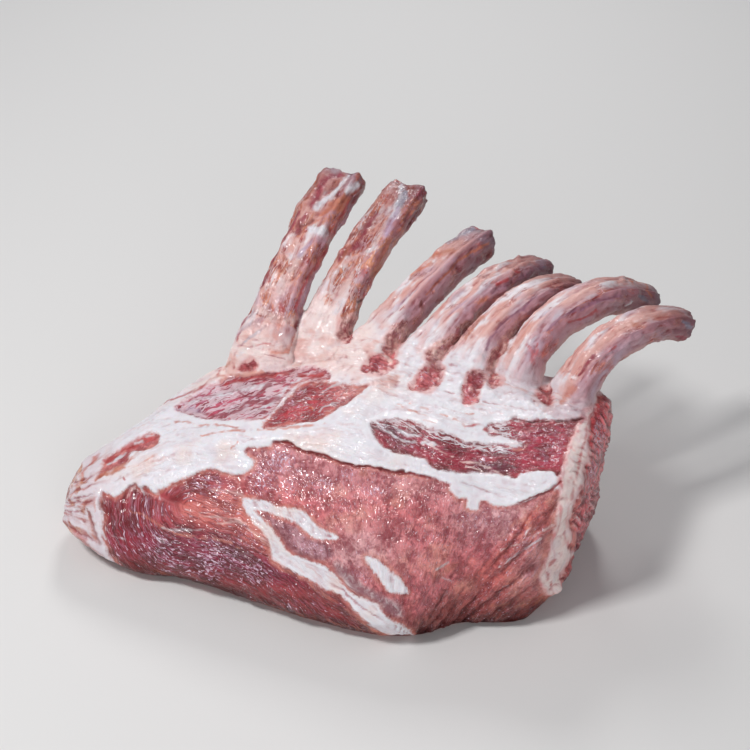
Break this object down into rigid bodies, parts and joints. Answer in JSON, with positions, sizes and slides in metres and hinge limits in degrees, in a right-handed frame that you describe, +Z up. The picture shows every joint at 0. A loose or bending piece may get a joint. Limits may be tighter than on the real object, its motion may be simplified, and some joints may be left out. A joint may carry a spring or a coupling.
{
  "type": "raw pork rack",
  "caption": "Raw frenched rack of pork: a body of meat and fat standing on its sawn side, with bared rib bones that fan out and arch back.",
  "frame": {"origin": "middle of the bounding box, on the surface the rack stands on", "axes": "+X along the rack from the narrow end to the broad end, +Y toward the tips of the bones, +Z up; the fat side faces -Y"},
  "size_m": [0.3064, 0.2284, 0.1477],
  "materials": {
    "raw_pork": "moist raw meat with bands of white fat",
    "rib_bone": "bone with thin pink membrane and blue-grey cut end"
  },
  "bodies": {
    "root": {"loin": "raw_pork", "rib_1": "rib_bone", "rib_2": "rib_bone", "rib_3": "rib_bone", "rib_4": "rib_bone", "rib_5": "rib_bone", "rib_6": "rib_bone", "rib_7": "rib_bone"}
  },
  "joints": []
}
